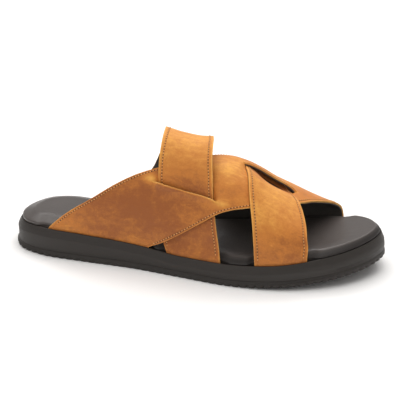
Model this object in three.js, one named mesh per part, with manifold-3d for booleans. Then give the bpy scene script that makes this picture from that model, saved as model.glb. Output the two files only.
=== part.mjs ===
// A slide sandal for the right foot, in millimetres: +X to the toe, +Y to the inner side, +Z up.
// Three leather straps cross over a moulded footbed. The wing strap runs from the outer heel quarter
// to the inner toe, and it has two slits: the instep strap comes up through the rear one, and the
// toe strap goes down through the front one. All three stand in a groove between rim and footbed.
// The origin is under the middle of the sandal, on the floor.
import * as THREE from "three";
import { mergeVertices } from "three/addons/utils/BufferGeometryUtils.js";
import Module from "manifold-3d";

const wasm = await Module();
wasm.setup();

// Lengths and widths of the sole.
const SOLE_LENGTH = 292;
const BALL_WIDTH = 106;
const HEEL_WIDTH = 73;

// Heights of the sole: the rim at heel, ball and toe, above the sole's own underside.
const HEEL_RIM = 22.3;
const BALL_RIM = 16;
const TOE_RIM = 18.7;
const TOE_SPRING = 11;

// The outsole, the lip that flares around its foot, and the teeth cut into the lip.
const OUTSOLE_THICKNESS = 5;
const OUTSOLE_LIP = 1.4;
const TOOTH_PITCH = 6.3;
const TOOTH_GAP = 3.4;
const TOOTH_DEPTH = 1.5;
const TOOTH_HEIGHT = 2.6;

// The midsole's wall, which bulges past the sole's edge, and the bevel that leans in to its rim.
const WALL_BULGE = 0.3;
const RIM_LEAN = 2.4;
const RIM_BEVEL = 5;
const TOE_BEVEL = 11;
const BEVEL_MOST = 0.6;
const RIM_WIDTH = 1.6;
const RIM_ROUND = 0.8;

// The groove behind the rim that the straps stand in, and how far along the groove the footbed
// stays clear of each strap.
const GROOVE_DEPTH = 7;
const FOOT_ROOM = 8;

// The footbed, which stands above the rim.
const FOOTBED_RISE = 4.3;
const FOOTBED_ROUND = 3.4;
const FOOTBED_DISH = 2.6;
const TOE_RISE = 1.2;
const ARCH_RISE = 3;
const ARCH_REACH = 0.55;
const BED_COLUMNS = 8;

// The straps.
const STRAP_WALL = 2.4;
const STRAP_BITE = 0.8;
const CREST_HEIGHT = 82;
const CREST_SHIFT = 5;
const ARCH_SIDE = 0.92;
const ARCH_TOP = 0.88;
const INSTEP_SLACK = 12;
const REAR_SLIT_WIDTH = 5;
const FRONT_SLIT_WIDTH = 6;

// Room between two pieces that meet.
const FIT_GAP = 0.3;

// The sole's edge from the heel along the inner side to the toe and back along the outer side.
// along: share of the sole's length. heel and ball: shares of the heel's and the ball's width.
const OUTLINE = [
  { along: 0.0, heel: -0.014, ball: 0 },
  { along: 0.028, heel: 0.3, ball: 0 },
  { along: 0.1, heel: 0.48, ball: 0 },
  { along: 0.22, heel: 0.42, ball: 0.05 },
  { along: 0.36, heel: 0.22, ball: 0.165 },
  { along: 0.5, heel: 0.08, ball: 0.275 },
  { along: 0.62, heel: 0, ball: 0.4 },
  { along: 0.73, heel: 0, ball: 0.466 },
  { along: 0.84, heel: 0, ball: 0.467 },
  { along: 0.925, heel: 0, ball: 0.382 },
  { along: 0.978, heel: 0, ball: 0.245 },
  { along: 1.0, heel: 0, ball: 0.085 },
  { along: 0.982, heel: 0, ball: -0.094 },
  { along: 0.925, heel: 0, ball: -0.283 },
  { along: 0.85, heel: 0, ball: -0.406 },
  { along: 0.75, heel: 0, ball: -0.49 },
  { along: 0.63, heel: 0, ball: -0.5 },
  { along: 0.5, heel: -0.08, ball: -0.388 },
  { along: 0.36, heel: -0.24, ball: -0.212 },
  { along: 0.22, heel: -0.42, ball: -0.06 },
  { along: 0.1, heel: -0.452, ball: 0 },
  { along: 0.028, heel: -0.3, ball: 0 },
];

// Height of the rim above the sole's underside, as shares of the three rim heights.
const RIM = [
  { along: 0.0, heel: 0.89, ball: 0, toe: 0 },
  { along: 0.03, heel: 0.93, ball: 0, toe: 0 },
  { along: 0.07, heel: 0.98, ball: 0, toe: 0 },
  { along: 0.12, heel: 0.98, ball: 0, toe: 0 },
  { along: 0.25, heel: 0.93, ball: 0, toe: 0 },
  { along: 0.38, heel: 0.5, ball: 0.45, toe: 0 },
  { along: 0.5, heel: 0, ball: 0.98, toe: 0 },
  { along: 0.62, heel: 0, ball: 1, toe: 0 },
  { along: 0.75, heel: 0, ball: 1.025, toe: 0 },
  { along: 0.88, heel: 0, ball: 0.55, toe: 0.48 },
  { along: 1.0, heel: 0, ball: 0, toe: 1 },
];

// Height of the underside above the floor, as a share of the toe spring.
const SPRING = [
  { along: 0.0, rise: 0.03 },
  { along: 0.05, rise: 0 },
  { along: 0.6, rise: 0 },
  { along: 0.75, rise: 0.18 },
  { along: 0.88, rise: 0.56 },
  { along: 1.0, rise: 1 },
];

// Height of the strap form's crest above the floor, as a share of the crest height.
const CREST = [
  { along: 0.07, rise: 1.19 },
  { along: 0.3, rise: 1.13 },
  { along: 0.38, rise: 1.085 },
  { along: 0.445, rise: 1.03 },
  { along: 0.51, rise: 1.0 },
  { along: 0.58, rise: 1.005 },
  { along: 0.62, rise: 0.972 },
  { along: 0.66, rise: 0.9 },
  { along: 0.7, rise: 0.8 },
  { along: 0.74, rise: 0.725 },
  { along: 0.785, rise: 0.64 },
  { along: 0.825, rise: 0.573 },
  { along: 0.866, rise: 0.518 },
  { along: 0.91, rise: 0.475 },
  { along: 0.97, rise: 0.44 },
];

// Each strap runs over the form from the outer groove, at turn 0, to the inner one, at turn 180.
// rear and front: its two edges, as shares of the sole's length. layer: 1 lies on another strap and
// -1 under one. rearSlack and frontSlack: share of the instep slack that lifts each edge off the form.
const WING_STRAP = [
  { turn: 0, rear: 0.114, front: 0.416, layer: 0 },
  { turn: 10, rear: 0.171, front: 0.476, layer: 0 },
  { turn: 20, rear: 0.232, front: 0.534, layer: 0 },
  { turn: 30, rear: 0.283, front: 0.588, layer: 0 },
  { turn: 43, rear: 0.346, front: 0.662, layer: 0 },
  { turn: 57, rear: 0.41, front: 0.715, layer: 0 },
  { turn: 75, rear: 0.468, front: 0.77, layer: 0 },
  { turn: 92, rear: 0.52, front: 0.805, layer: 0 },
  { turn: 110, rear: 0.566, front: 0.835, layer: 0 },
  { turn: 130, rear: 0.612, front: 0.855, layer: 0 },
  { turn: 150, rear: 0.66, front: 0.866, layer: 0 },
  { turn: 180, rear: 0.72, front: 0.872, layer: 0 },
];
const INSTEP_STRAP = [
  { turn: 0, rear: 0.44, front: 0.602, layer: 0, rearSlack: 0, frontSlack: 0 },
  { turn: 10, rear: 0.438, front: 0.592, layer: -0.8, rearSlack: 0, frontSlack: 0 },
  { turn: 30, rear: 0.427, front: 0.576, layer: -1, rearSlack: 0, frontSlack: 0 },
  { turn: 43, rear: 0.419, front: 0.569, layer: -0.2, rearSlack: 0, frontSlack: 0 },
  { turn: 52, rear: 0.418, front: 0.569, layer: 0.8, rearSlack: 0.08, frontSlack: 0.1 },
  { turn: 70, rear: 0.411, front: 0.56, layer: 1, rearSlack: 0.5, frontSlack: 0.62 },
  { turn: 90, rear: 0.4, front: 0.548, layer: 1, rearSlack: 0.86, frontSlack: 1.05 },
  { turn: 110, rear: 0.388, front: 0.53, layer: 1, rearSlack: 0.9, frontSlack: 1.08 },
  { turn: 130, rear: 0.374, front: 0.515, layer: 1, rearSlack: 0.65, frontSlack: 0.8 },
  { turn: 150, rear: 0.35, front: 0.493, layer: 0.6, rearSlack: 0.3, frontSlack: 0.38 },
  { turn: 165, rear: 0.31, front: 0.468, layer: 0.2, rearSlack: 0.1, frontSlack: 0.12 },
  { turn: 180, rear: 0.26, front: 0.443, layer: 0, rearSlack: 0, frontSlack: 0 },
];
const TOE_STRAP = [
  { turn: 0, rear: 0.694, front: 0.827, layer: 0 },
  { turn: 15, rear: 0.688, front: 0.827, layer: 0.2 },
  { turn: 30, rear: 0.679, front: 0.82, layer: 0.8 },
  { turn: 45, rear: 0.667, front: 0.812, layer: 1 },
  { turn: 60, rear: 0.654, front: 0.799, layer: 1 },
  { turn: 80, rear: 0.639, front: 0.773, layer: 1 },
  { turn: 92, rear: 0.63, front: 0.755, layer: 0.2 },
  { turn: 103, rear: 0.619, front: 0.741, layer: -1 },
  { turn: 130, rear: 0.582, front: 0.705, layer: -1 },
  { turn: 150, rear: 0.548, front: 0.678, layer: -1 },
  { turn: 165, rear: 0.527, front: 0.663, layer: -0.5 },
  { turn: 180, rear: 0.507, front: 0.65, layer: 0 },
];

// The two slits of the wing strap, each from its rear end to its front end.
const REAR_SLIT = [
  { along: 0.404, turn: 43.6 },
  { along: 0.465, turn: 43.8 },
  { along: 0.53, turn: 42.4 },
  { along: 0.586, turn: 39 },
];
const FRONT_SLIT = [
  { along: 0.626, turn: 94.5 },
  { along: 0.66, turn: 97 },
  { along: 0.7, turn: 100 },
  { along: 0.757, turn: 97 },
];

const OUTLINE_POINTS = 360;
const STATIONS = 48;
const SLIVER = 0.01;

// A smooth line through one column of a table, with no overshoot between its rows.
function smoothColumn(rows, key, column) {
  const x = rows.map((row) => row[key]);
  const y = rows.map((row) => (typeof column === "function" ? column(row) : row[column]));
  const last = x.length - 1;
  const slope = x.slice(1).map((_, i) => (y[i + 1] - y[i]) / (x[i + 1] - x[i]));
  const lean = x.map((_, i) => {
    if (i === 0) return slope[0];
    if (i === last) return slope[last - 1];
    const before = slope[i - 1];
    const after = slope[i];
    return before * after <= 0 ? 0 : (2 * before * after) / (before + after);
  });
  return (at) => {
    const q = Math.min(Math.max(at, x[0]), x[last]);
    const i = Math.min(Math.max(x.findIndex((v) => v > q) - 1, 0), last - 1);
    const k = q >= x[last] ? last - 1 : i;
    const width = x[k + 1] - x[k];
    const t = (q - x[k]) / width;
    const s = 1 - t;
    const ends = y[k] * s * s * (1 + 2 * t) + y[k + 1] * t * t * (3 - 2 * t);
    return ends + width * t * s * (lean[k] * s - lean[k + 1] * t);
  };
}

const mix = (a, b, t) => a + (b - a) * t;

// The sole's edge as a fine closed line, with its outward normals.
function soleEdge() {
  const knots = OUTLINE.map(
    (row) =>
      new THREE.Vector3(
        row.along * SOLE_LENGTH,
        row.heel * HEEL_WIDTH + row.ball * BALL_WIDTH,
        0,
      ),
  );
  const line = new THREE.CatmullRomCurve3(knots, true, "centripetal");
  const points = line.getSpacedPoints(OUTLINE_POINTS).slice(0, OUTLINE_POINTS);
  const normals = points.map((_, i) => {
    const before = points[(i + OUTLINE_POINTS - 1) % OUTLINE_POINTS];
    const after = points[(i + 1) % OUTLINE_POINTS];
    const run = after.clone().sub(before).normalize();
    return new THREE.Vector3(-run.y, run.x, 0);
  });
  return { points, normals };
}

const edge = soleEdge();
const lowest = (key) => Math.min(...edge.points.map((p) => p[key]));
const highest = (key) => Math.max(...edge.points.map((p) => p[key]));
const centreX = (lowest("x") + highest("x")) / 2;
const centreY = (lowest("y") + highest("y")) / 2;

// The edge moved inwards, as two functions of x: its inner side and its outer side.
const insetCache = new Map();
function insetEdge(inset) {
  if (insetCache.has(inset)) return insetCache.get(inset);
  const moved = edge.points.map((p, i) => p.clone().addScaledVector(edge.normals[i], -inset));
  const xs = moved.map((p) => p.x);
  const heel = xs.indexOf(Math.min(...xs));
  const turned = moved.slice(heel).concat(moved.slice(0, heel + 1));
  const turnedXs = turned.map((p) => p.x);
  const toe = turnedXs.indexOf(Math.max(...turnedXs));
  const side = (run) => (x) => {
    const i = run.findIndex((p) => p.x >= x);
    if (i < 0) return run[run.length - 1].y;
    if (i === 0) return run[0].y;
    return mix(run[i - 1].y, run[i].y, (x - run[i - 1].x) / (run[i].x - run[i - 1].x));
  };
  const made = {
    from: turned[0].x,
    to: turned[toe].x,
    inner: side(turned.slice(0, toe + 1)),
    outer: side(turned.slice(toe).reverse()),
  };
  insetCache.set(inset, made);
  return made;
}

const springOf = smoothColumn(SPRING, "along", (row) => row.rise * TOE_SPRING);
const rimOf = smoothColumn(
  RIM,
  "along",
  (row) => row.heel * HEEL_RIM + row.ball * BALL_RIM + row.toe * TOE_RIM,
);
const crestOf = smoothColumn(CREST, "along", (row) => row.rise * CREST_HEIGHT);

const underside = (x) => springOf(x / SOLE_LENGTH);
const outsoleTop = (x) => underside(x) + OUTSOLE_THICKNESS;
const rimTop = (x) => underside(x) + rimOf(x / SOLE_LENGTH);
const recessFloor = (x) => rimTop(x) - GROOVE_DEPTH;

// One level ring around the sole: heel to toe along the inner side, and back along the outer side.
function ring(inset, heightAt) {
  const line = insetEdge(inset);
  const at = (k, side) => {
    const x = mix(line.from, line.to, (1 - Math.cos((Math.PI * k) / STATIONS)) / 2);
    return new THREE.Vector3(x, side(x), heightAt(x));
  };
  const inner = Array.from({ length: STATIONS + 1 }, (_, k) => at(k, line.inner));
  const outer = Array.from({ length: STATIONS - 1 }, (_, k) => at(STATIONS - 1 - k, line.outer));
  return inner.concat(outer);
}

// A closed solid from points and faces of three or four corners.
function solid(points, faces) {
  const triangles = faces.flatMap((f) =>
    f.length === 4 ? [f[0], f[1], f[2], f[0], f[2], f[3]] : f,
  );
  const geometry = new THREE.BufferGeometry();
  const flat = new Float32Array(points.flatMap((p) => [p.x, p.y, p.z]));
  geometry.setAttribute("position", new THREE.BufferAttribute(flat, 3));
  geometry.setIndex(triangles);
  return manifoldOf(geometry);
}

function manifoldOf(geometry) {
  const bare = new THREE.BufferGeometry();
  bare.setAttribute("position", geometry.getAttribute("position"));
  bare.setIndex(geometry.getIndex());
  const merged = mergeVertices(bare, 1e-4);
  return new wasm.Manifold(
    new wasm.Mesh({
      numProp: 3,
      vertProperties: new Float32Array(merged.attributes.position.array),
      triVerts: new Uint32Array(merged.index.array),
    }),
  );
}

// A solid through rings from its underside up, over its edge and in again. Its two ends are closed
// by rungs from the inner side to the outer side, and bowl(point, share) lowers the last end.
function soleLoft(rings, columns, bowl) {
  const size = 2 * STATIONS;
  const points = rings.flat();
  const faces = [];
  for (let r = 0; r + 1 < rings.length; r++) {
    for (let i = 0; i < size; i++) {
      const next = (i + 1) % size;
      const low = r * size;
      const high = low + size;
      faces.push([low + i, high + i, high + next, low + next]);
    }
  }
  const closeEnd = (start, parts, up, lower) => {
    const rung = (k) => {
      const inner = start + k;
      if (k === 0 || k === STATIONS) return Array(parts + 1).fill(inner);
      const outer = start + size - k;
      const row = [inner];
      for (let j = 1; j < parts; j++) {
        const share = j / parts;
        const p = points[inner].clone().lerp(points[outer], share);
        if (lower) p.z += lower(p, share);
        row.push(points.push(p) - 1);
      }
      return row.concat(outer);
    };
    let before = rung(0);
    for (let k = 1; k <= STATIONS; k++) {
      const here = rung(k);
      for (let j = 0; j < parts; j++) {
        const face = [before[j], here[j], here[j + 1], before[j + 1]];
        const corners = face.filter((v, i) => v !== face[(i + 1) % 4]);
        if (corners.length > 2) faces.push(up ? corners.reverse() : corners);
      }
      before = here;
    }
  };
  closeEnd(0, 1, false);
  closeEnd((rings.length - 1) * size, columns, true, bowl);
  return solid(points, faces);
}

// The rubber outsole: a layer whose foot flares out to a lip with teeth.
function outsole() {
  const body = soleLoft(
    [
      ring(-OUTSOLE_LIP / 2, underside),
      ring(-OUTSOLE_LIP, (x) => underside(x) + TOOTH_HEIGHT / 2),
      ring(-OUTSOLE_LIP, (x) => underside(x) + TOOTH_HEIGHT),
      ring(0, outsoleTop),
    ],
    1,
  );
  return wasm.Manifold.difference([body, ...toothNotches()]).simplify(SLIVER);
}

// V-shaped notches, square to the sole's edge and evenly spaced around it.
function toothNotches() {
  const perimeter = edge.points.reduce(
    (sum, p, i) => sum + p.distanceTo(edge.points[(i + 1) % OUTLINE_POINTS]),
    0,
  );
  const count = Math.round(perimeter / TOOTH_PITCH);
  const reach = OUTSOLE_LIP * 2;
  const tip = OUTSOLE_LIP - TOOTH_DEPTH;
  const mouth = ((TOOTH_GAP / 2) * (reach - tip)) / TOOTH_DEPTH;
  const notch = new THREE.Shape([
    new THREE.Vector2(tip, 0),
    new THREE.Vector2(reach, -mouth),
    new THREE.Vector2(reach, mouth),
  ]);
  return Array.from({ length: count }, (_, n) => {
    const place = (n / count) * OUTLINE_POINTS;
    const i = Math.floor(place);
    const next = (i + 1) % OUTLINE_POINTS;
    const at = edge.points[i].clone().lerp(edge.points[next], place - i);
    const out = edge.normals[i].clone().lerp(edge.normals[next], place - i);
    const below = TOOTH_HEIGHT * 2;
    const cutter = new THREE.ExtrudeGeometry(notch, {
      depth: below + TOOTH_HEIGHT,
      bevelEnabled: false,
    });
    cutter.rotateZ(Math.atan2(out.y, out.x));
    cutter.translate(at.x, at.y, underside(at.x) - below);
    cutter.deleteAttribute("normal");
    cutter.deleteAttribute("uv");
    return manifoldOf(mergeVertices(cutter, 1e-4));
  });
}

// Insets of the rim's inner wall, of the straps' outer and inner faces, and of the footbed.
const RIM_INSET = RIM_LEAN + RIM_WIDTH;
const STRAP_INSET = RIM_INSET + FIT_GAP;
const FOOTBED_INSET = STRAP_INSET + STRAP_WALL + FIT_GAP;

// The midsole: a shallow cup with a bulged wall, a bevel above it, taller at the toe, and a rim.
function midsole() {
  const bottom = (x) => outsoleTop(x) + FIT_GAP;
  const bevelFoot = (x) => {
    const toeShare = THREE.MathUtils.smoothstep(x / SOLE_LENGTH, 0.8, 1);
    const tallest = (rimTop(x) - bottom(x)) * BEVEL_MOST;
    return rimTop(x) - Math.min(mix(RIM_BEVEL, TOE_BEVEL, toeShare), tallest);
  };
  return soleLoft(
    [
      ring(0, bottom),
      ring(-WALL_BULGE, (x) => (bottom(x) + bevelFoot(x)) / 2),
      ring(-WALL_BULGE, bevelFoot),
      ring(RIM_LEAN, (x) => rimTop(x) - RIM_ROUND),
      ring(RIM_LEAN + RIM_ROUND, rimTop),
      ring(RIM_INSET - RIM_ROUND * 0.5, rimTop),
      ring(RIM_INSET, (x) => rimTop(x) - RIM_ROUND * 0.5),
      ring(RIM_INSET, recessFloor),
    ],
    1,
  );
}

// 1 where the footbed makes room for a strap's foot in the groove, 0 where it fills the groove.
// Turn is 0 on the outer side and 180 on the inner side.
function strapRoom(x, turn) {
  const shares = [WING_STRAP, INSTEP_STRAP, TOE_STRAP].map((rows) => {
    const foot = rows.find((row) => row.turn === turn);
    const away = Math.max(foot.rear * SOLE_LENGTH - x, x - foot.front * SOLE_LENGTH);
    return 1 - THREE.MathUtils.smoothstep(away, FOOT_ROOM, 2 * FOOT_ROOM);
  });
  return Math.max(...shares);
}

// A ring of the footbed: it runs beside the rim and moves in to make room for the straps.
function bedRing(inset, heightAt) {
  const clear = ring(inset, heightAt);
  const filled = ring(inset - FOOTBED_INSET + STRAP_INSET, heightAt);
  return clear.map((p, i) => filled[i].lerp(p, strapRoom(p.x, i > STATIONS ? 0 : 180)));
}

// The footbed: it lies in the cup, stands above the rim with a rounded shoulder, and is dished
// inside, with a low rise under the arch.
function footbed() {
  const toeShare = (x) => THREE.MathUtils.smoothstep(x / SOLE_LENGTH, 0.75, 1);
  const crown = (x) => rimTop(x) + FOOTBED_RISE + TOE_RISE * toeShare(x);
  const line = insetEdge(FOOTBED_INSET + FOOTBED_ROUND * 1.6);
  const bowl = (p, share) => {
    const width = line.inner(p.x) - line.outer(p.x);
    const fullness = Math.min(1, (width / HEEL_WIDTH) ** 2);
    const dish = FOOTBED_DISH * Math.min(1, 3 * share * (1 - share)) * fullness;
    const arch = Math.exp(-(((p.x / SOLE_LENGTH - 0.42) / 0.11) ** 2));
    return ARCH_RISE * arch * Math.sin(Math.PI * Math.min(1, share / ARCH_REACH)) - dish;
  };
  return soleLoft(
    [
      bedRing(FOOTBED_INSET, (x) => recessFloor(x) + FIT_GAP),
      bedRing(FOOTBED_INSET + FIT_GAP, (x) => crown(x) - FOOTBED_ROUND * 0.9),
      bedRing(FOOTBED_INSET + FOOTBED_ROUND * 0.3, (x) => crown(x) - FOOTBED_ROUND * 0.3),
      bedRing(FOOTBED_INSET + FOOTBED_ROUND, crown),
      bedRing(FOOTBED_INSET + FOOTBED_ROUND * 1.6, crown),
    ],
    BED_COLUMNS,
    bowl,
  );
}

// The form that the straps are shaped on: at each x an arch from groove to groove. Turn is in
// degrees from the outer groove; drop lowers a point straight down into the groove.
function formPoint(x, turn, drop) {
  const line = insetEdge(STRAP_INSET);
  const outer = line.outer(x);
  const inner = line.inner(x);
  const foot = rimTop(x);
  const angle = THREE.MathUtils.degToRad(turn);
  const across = Math.cos(angle);
  const up = Math.max(0, Math.sin(angle));
  const half = (inner - outer) / 2;
  const bulge = Math.sign(across) * Math.abs(across) ** ARCH_SIDE;
  const rise = crestOf(x / SOLE_LENGTH) - foot;
  return new THREE.Vector3(
    x,
    (outer + inner) / 2 - half * bulge + CREST_SHIFT * up,
    foot + rise * up ** ARCH_TOP - drop,
  );
}

// Outward direction of the form.
function formNormal(x, turn) {
  const stepX = 0.5;
  const stepTurn = 0.5;
  const inside = Math.min(Math.max(turn, stepTurn), 180 - stepTurn);
  const alongX = formPoint(x + stepX, inside, 0).sub(formPoint(x - stepX, inside, 0));
  const alongTurn = formPoint(x, inside + stepTurn, 0).sub(formPoint(x, inside - stepTurn, 0));
  return alongX.cross(alongTurn).normalize();
}

const LAYER = STRAP_WALL - STRAP_BITE;
const STRAP_FOOT = GROOVE_DEPTH - FIT_GAP;

// The outer face of a strap, at a turn and a share of its width from the rear edge.
function strapFace(rows) {
  const names = ["rear", "front", "layer", "rearSlack", "frontSlack"];
  const column = Object.fromEntries(
    names.map((name) => [name, smoothColumn(rows, "turn", (row) => row[name] ?? 0)]),
  );
  return (turn, share, drop) => {
    const x = mix(column.rear(turn), column.front(turn), share) * SOLE_LENGTH;
    const slack = mix(column.rearSlack(turn), column.frontSlack(turn), share);
    const lift = column.layer(turn) * LAYER + slack * INSTEP_SLACK;
    return formPoint(x, turn, drop).addScaledVector(formNormal(x, turn), lift);
  };
}

// A strap as a closed solid of even wall, with its two feet straight down in the groove.
function strap(rows, steps, columns) {
  const face = strapFace(rows);
  const stations = [{ turn: 0, drop: STRAP_FOOT }];
  for (let i = 0; i <= steps; i++) stations.push({ turn: (180 * i) / steps, drop: 0 });
  stations.push({ turn: 180, drop: STRAP_FOOT });
  const small = 1e-3;
  const outwards = (turn, share) => {
    const across = face(turn, share + small, 0).sub(face(turn, share - small, 0));
    if (turn > 0 && turn < 180) {
      const along = face(turn + small, share, 0).sub(face(turn - small, share, 0));
      return across.cross(along).normalize();
    }
    across.z = 0;
    return across.cross(new THREE.Vector3(0, 0, turn === 0 ? 1 : -1)).normalize();
  };
  const outside = [];
  const inside = [];
  for (const { turn, drop } of stations) {
    for (let j = 0; j <= columns; j++) {
      const share = j / columns;
      const p = face(turn, share, drop);
      outside.push(p);
      inside.push(p.clone().addScaledVector(outwards(turn, share), -STRAP_WALL));
    }
  }
  const width = columns + 1;
  const last = stations.length - 1;
  const inner = outside.length;
  const faces = [];
  for (let i = 0; i < last; i++) {
    for (let j = 0; j < columns; j++) {
      const low = i * width + j;
      const quad = [low, low + 1, low + width + 1, low + width];
      faces.push(quad);
      faces.push(quad.map((v) => v + inner).reverse());
    }
    const rear = i * width;
    const front = rear + columns;
    faces.push([rear, rear + width, rear + width + inner, rear + inner]);
    faces.push([front + width, front, front + inner, front + width + inner]);
  }
  for (let j = 0; j < columns; j++) {
    const end = last * width + j;
    faces.push([j + 1, j, j + inner, j + 1 + inner]);
    faces.push([end, end + 1, end + 1 + inner, end + inner]);
  }
  return solid(outside.concat(inside), faces);
}

// A cutter for a slit: a lens on the form, pointed at both ends, that goes right through the wall.
function slitCutter(rows, width) {
  const turnOf = smoothColumn(rows, "along", "turn");
  const from = rows[0].along;
  const to = rows[rows.length - 1].along;
  const steps = 10;
  const depth = STRAP_WALL * 3;
  const points = [];
  for (let i = 0; i <= steps; i++) {
    const along = mix(from, to, i / steps);
    const x = along * SOLE_LENGTH;
    const turn = turnOf(along);
    const out = formNormal(x, turn);
    const around = formPoint(x, turn + 0.5, 0).sub(formPoint(x, turn - 0.5, 0)).normalize();
    const half = Math.max(0.15, (width / 2) * Math.sin((Math.PI * i) / steps));
    const middle = formPoint(x, turn, 0);
    for (const [a, b] of [[-half, depth], [half, depth], [half, -depth], [-half, -depth]]) {
      points.push(middle.clone().addScaledVector(around, a).addScaledVector(out, b));
    }
  }
  const faces = [[0, 1, 2, 3]];
  for (let i = 0; i < steps; i++) {
    for (let j = 0; j < 4; j++) {
      const next = (j + 1) % 4;
      faces.push([4 * i + j, 4 * i + 4 + j, 4 * i + 4 + next, 4 * i + next]);
    }
  }
  faces.push([3, 2, 1, 0].map((j) => 4 * steps + j));
  return solid(points, faces);
}

// The upper: three straps, joined where they cross.
function upper() {
  const wing = wasm.Manifold.difference([
    strap(WING_STRAP, 30, 10),
    slitCutter(REAR_SLIT, REAR_SLIT_WIDTH),
    slitCutter(FRONT_SLIT, FRONT_SLIT_WIDTH),
  ]);
  const others = [strap(INSTEP_STRAP, 26, 5), strap(TOE_STRAP, 26, 5)];
  return wasm.Manifold.union([wing, ...others]).simplify(SLIVER);
}

function node(name, made, color, roughness) {
  const mesh = made.getMesh();
  const positions = new Float32Array(mesh.numVert * 3);
  for (let i = 0; i < mesh.numVert; i++) {
    for (let k = 0; k < 3; k++) {
      positions[3 * i + k] = mesh.vertProperties[mesh.numProp * i + k];
    }
  }
  const geometry = new THREE.BufferGeometry();
  geometry.setAttribute("position", new THREE.BufferAttribute(positions, 3));
  geometry.setIndex(new THREE.BufferAttribute(new Uint32Array(mesh.triVerts), 1));
  geometry.computeVertexNormals();
  const material = new THREE.MeshStandardMaterial({ color, roughness, metalness: 0 });
  const piece = new THREE.Mesh(geometry, material);
  piece.name = name;
  return piece;
}

const sandal = new THREE.Group();
sandal.add(
  node("outsole", outsole(), "#2a2725", 0.85),
  node("midsole", midsole(), "#2d2a28", 0.7),
  node("footbed", footbed(), "#37322f", 0.6),
  node("upper", upper(), "#b36a2a", 0.55),
);
sandal.position.set(-centreX, -centreY, 0);

export default sandal;
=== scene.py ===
"""A leather slide sandal for the right foot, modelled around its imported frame, in metres.

+X runs to the toe, +Y to the inner side and +Z up, and the origin is on the floor under the middle.
Each strap is a grid laid over one foot form and given a wall. The sole's pieces are rings around one
outline. Turn is the angle in degrees around the form, from the outer groove to the inner one.
"""

import math
from bisect import bisect_right
from collections import namedtuple

import bmesh
import bpy
from bpy.props import FloatProperty, FloatVectorProperty, PointerProperty
from mathutils import Matrix, Vector


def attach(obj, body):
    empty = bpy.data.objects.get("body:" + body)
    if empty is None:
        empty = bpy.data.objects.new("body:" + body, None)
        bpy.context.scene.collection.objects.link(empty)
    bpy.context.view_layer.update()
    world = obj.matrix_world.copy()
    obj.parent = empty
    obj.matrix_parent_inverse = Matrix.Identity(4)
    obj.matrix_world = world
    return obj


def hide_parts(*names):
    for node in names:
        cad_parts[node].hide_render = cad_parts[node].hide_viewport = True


bl_info = {
    "name": "Slide Sandal",
    "version": (1, 0, 0),
    "blender": (4, 5, 0),
    "location": "3D View > Sidebar > Sandal",
    "description": "Dresses a slide sandal: sole, footbed, crossing leather straps and their seams",
    "category": "Object",
}

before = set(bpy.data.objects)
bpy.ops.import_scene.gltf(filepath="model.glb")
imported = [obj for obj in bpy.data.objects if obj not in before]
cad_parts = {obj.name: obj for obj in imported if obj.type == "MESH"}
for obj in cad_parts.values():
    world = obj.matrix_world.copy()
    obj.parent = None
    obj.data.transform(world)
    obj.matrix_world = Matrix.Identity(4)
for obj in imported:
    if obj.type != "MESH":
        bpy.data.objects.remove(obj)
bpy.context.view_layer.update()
BODY = "root"
MM = 0.001


def table(names, *rows):
    """Rows of values under named columns. What a row leaves out is 0."""
    row = namedtuple("Row", names, defaults=[0] * names.count(" "))
    return [row(*values) for values in rows]


# The sole's edge from the heel along the inner side to the toe and back along the outer side.
# along: share of the sole's length. heel and ball: shares of the heel's and the ball's width.
OUTLINE = table(
    "along heel ball",
    (0.0, -0.014, 0),
    (0.028, 0.3, 0),
    (0.1, 0.48, 0),
    (0.22, 0.42, 0.05),
    (0.36, 0.22, 0.165),
    (0.5, 0.08, 0.275),
    (0.62, 0, 0.4),
    (0.73, 0, 0.466),
    (0.84, 0, 0.467),
    (0.925, 0, 0.382),
    (0.978, 0, 0.245),
    (1.0, 0, 0.085),
    (0.982, 0, -0.094),
    (0.925, 0, -0.283),
    (0.85, 0, -0.406),
    (0.75, 0, -0.49),
    (0.63, 0, -0.5),
    (0.5, -0.08, -0.388),
    (0.36, -0.24, -0.212),
    (0.22, -0.42, -0.06),
    (0.1, -0.452, 0),
    (0.028, -0.3, 0),
)

# Height of the rim above the underside, as shares of the rim's heights at heel, ball and toe.
RIM = table(
    "along heel ball toe",
    (0.0, 0.89, 0, 0),
    (0.03, 0.93, 0, 0),
    (0.07, 0.98, 0, 0),
    (0.12, 0.98, 0, 0),
    (0.25, 0.93, 0, 0),
    (0.38, 0.5, 0.45, 0),
    (0.5, 0, 0.98, 0),
    (0.62, 0, 1, 0),
    (0.75, 0, 1.025, 0),
    (0.88, 0, 0.55, 0.48),
    (1.0, 0, 0, 1),
)

# Height of the underside above the floor, as a share of the toe spring.
SPRING = table("along rise", (0.0, 0.03), (0.05, 0), (0.6, 0), (0.75, 0.18), (0.88, 0.56), (1.0, 1))

# Height of the foot form's crest above the floor, as a share of the crest height.
CREST = table(
    "along rise",
    (0.07, 1.19),
    (0.3, 1.13),
    (0.38, 1.085),
    (0.445, 1.03),
    (0.51, 1.0),
    (0.58, 1.005),
    (0.62, 0.972),
    (0.66, 0.9),
    (0.7, 0.8),
    (0.74, 0.725),
    (0.785, 0.64),
    (0.825, 0.573),
    (0.866, 0.518),
    (0.91, 0.475),
    (0.97, 0.44),
)

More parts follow.
